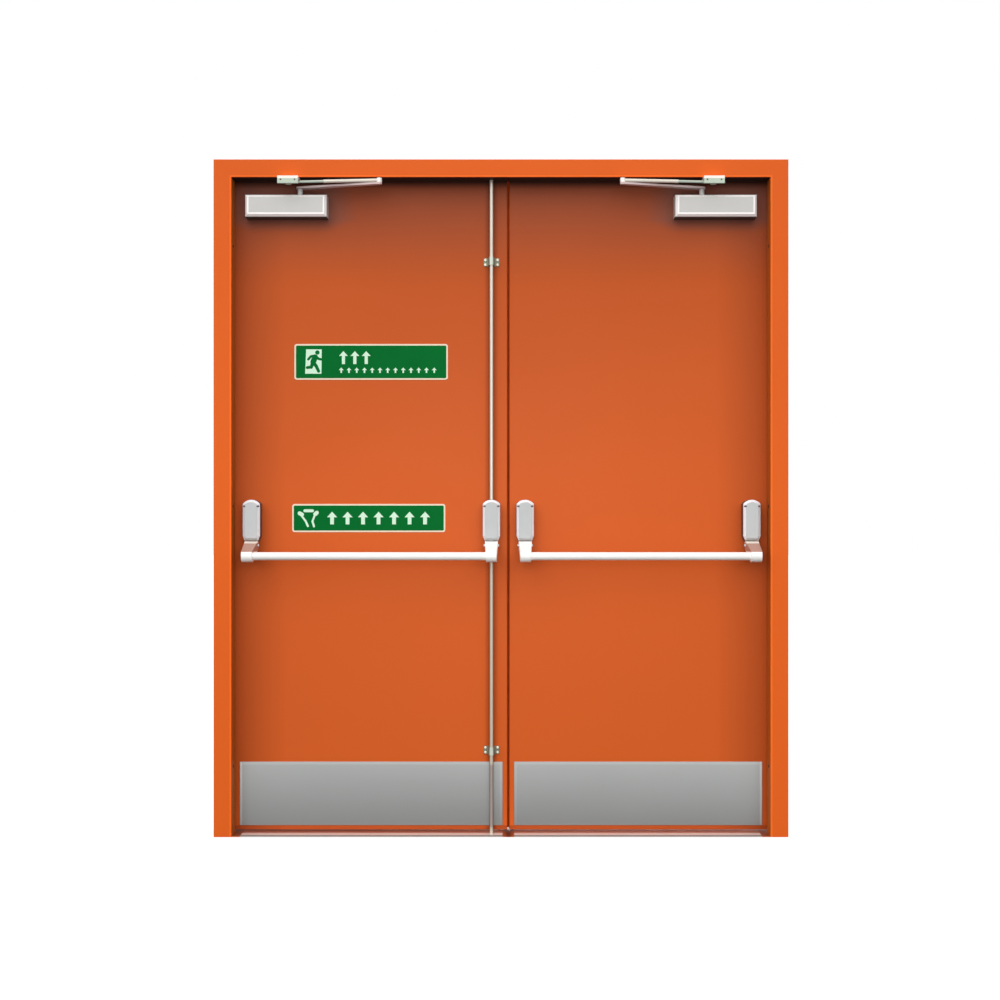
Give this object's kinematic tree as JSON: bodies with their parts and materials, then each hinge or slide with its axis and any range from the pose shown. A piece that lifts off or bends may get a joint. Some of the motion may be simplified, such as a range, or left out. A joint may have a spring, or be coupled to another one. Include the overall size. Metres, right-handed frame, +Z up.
{
  "type": "pair of fire rated steel doors in a steel frame",
  "caption": "Pair of steel fire doors in a folded steel frame, with push bars, bolt rods, overhead closers, kick plates and green signs.",
  "frame": {"origin": "on the floor at the middle of the frame, in width and in depth", "axes": "+X to the right from the push side, +Y through the doorway away from the push side, +Z up"},
  "size_m": [1.79, 0.1785, 2.11],
  "materials": {
    "frame_paint": "orange powder coat, satin",
    "leaf_paint": "orange powder coat, satin",
    "stainless": "brushed stainless steel",
    "seal_rubber": "black seal",
    "core_wool": "mineral wool board",
    "hinge_steel": "zinc plated steel",
    "closer_silver": "silver paint, satin",
    "case_silver": "silver paint, satin",
    "bar_silver": "pale satin aluminium",
    "rod_steel": "plated steel rod",
    "sign_green": "green sign plate with a pale border"
  },
  "bodies": {
    "frame": {"left_jamb": "frame_paint", "right_jamb": "frame_paint", "frame_head": "frame_paint", "head_bolt_keeper": "stainless", "threshold": "stainless", "left_jamb_seal": "seal_rubber", "right_jamb_seal": "seal_rubber", "head_seal": "seal_rubber", "left_frame_hinges": "hinge_steel", "right_frame_hinges": "hinge_steel", "left_closer_shoe": "closer_silver", "right_closer_shoe": "closer_silver"},
    "left_leaf": {"left_leaf_push_skin": "leaf_paint", "left_leaf_pull_skin": "leaf_paint", "left_leaf_core": "core_wool", "left_kick_plate": "stainless", "left_leaf_hinges": "hinge_steel", "left_closer": "closer_silver", "left_outer_case": "case_silver", "left_inner_case": "case_silver", "upper_rod_guide": "rod_steel", "lower_rod_guide": "rod_steel", "upper_sign": "sign_green", "lower_sign": "sign_green", "meeting_seal": "seal_rubber"},
    "right_leaf": {"right_leaf_push_skin": "leaf_paint", "right_leaf_pull_skin": "leaf_paint", "right_leaf_core": "core_wool", "right_kick_plate": "stainless", "right_leaf_hinges": "hinge_steel", "right_closer": "closer_silver", "right_outer_case": "case_silver", "right_inner_case": "case_silver"},
    "left_bar": {"left_outer_bar_arm": "bar_silver", "left_inner_bar_arm": "bar_silver", "left_push_bar": "bar_silver"},
    "right_bar": {"right_outer_bar_arm": "bar_silver", "right_inner_bar_arm": "bar_silver", "right_push_bar": "bar_silver"},
    "top_rod": {"top_bolt_rod": "rod_steel"},
    "bottom_rod": {"bottom_bolt_rod": "rod_steel"},
    "left_main_arm": {"left_closer_arm": "closer_silver"},
    "right_main_arm": {"right_closer_arm": "closer_silver"},
    "left_link_arm": {"left_forearm": "closer_silver"},
    "right_link_arm": {"right_forearm": "closer_silver"}
  },
  "joints": [
    {"name": "left_leaf_swing", "type": "hinge", "parent": "frame", "child": "left_leaf", "pos_m": [-0.8515, 0.061, 1.0375], "axis": [0, 0, 1], "range_deg": [0, 90], "stiffness_Nm_per_rad": 6, "springref_deg": -28.65},
    {"name": "right_leaf_swing", "type": "hinge", "parent": "frame", "child": "right_leaf", "pos_m": [0.8515, 0.061, 1.0375], "axis": [0, 0, -1], "range_deg": [0, 90], "stiffness_Nm_per_rad": 6, "springref_deg": -28.65},
    {"name": "left_bar_press", "type": "hinge", "parent": "left_leaf", "child": "left_bar", "pos_m": [-0.406, -0.027, 0.907], "axis": [1, 0, 0], "range_deg": [0, 20], "stiffness_Nm_per_rad": 8, "springref_deg": -34.38},
    {"name": "right_bar_press", "type": "hinge", "parent": "right_leaf", "child": "right_bar", "pos_m": [0.43, -0.027, 0.907], "axis": [1, 0, 0], "range_deg": [0, 20], "stiffness_Nm_per_rad": 8, "springref_deg": -34.38},
    {"name": "top_rod_slide", "type": "slide", "parent": "left_leaf", "child": "top_rod", "axis": [0, 0, -1], "range_m": [0, 0.015]},
    {"name": "bottom_rod_slide", "type": "slide", "parent": "left_leaf", "child": "bottom_rod", "axis": [0, 0, 1], "range_m": [0, 0.015]},
    {"name": "left_arm_turn", "type": "hinge", "parent": "left_leaf", "child": "left_main_arm", "pos_m": [-0.631, -0.016, 2.0259], "axis": [0, 0, -1], "range_deg": [0, 95.39]},
    {"name": "right_arm_turn", "type": "hinge", "parent": "right_leaf", "child": "right_main_arm", "pos_m": [0.631, -0.016, 2.0259], "axis": [0, 0, 1], "range_deg": [0, 95.39]},
    {"name": "left_forearm_turn", "type": "hinge", "parent": "frame", "child": "left_link_arm", "pos_m": [-0.661, -0.055, 2.0388], "axis": [0, 0, 1], "range_deg": [0, 66.38]},
    {"name": "right_forearm_turn", "type": "hinge", "parent": "frame", "child": "right_link_arm", "pos_m": [0.661, -0.055, 2.0388], "axis": [0, 0, -1], "range_deg": [0, 66.38]}
  ],
  "couplings": [
    {"joint": "top_rod_slide", "follows": "left_bar_press", "m_per_rad": 0.042972},
    {"joint": "bottom_rod_slide", "follows": "left_bar_press", "m_per_rad": 0.042972},
    {"joint": "left_arm_turn", "follows": "left_leaf_swing", "ratio": 1.0599},
    {"joint": "left_forearm_turn", "follows": "left_leaf_swing", "ratio": 0.73757},
    {"joint": "right_arm_turn", "follows": "right_leaf_swing", "ratio": 1.0599},
    {"joint": "right_forearm_turn", "follows": "right_leaf_swing", "ratio": 0.73757}
  ]
}
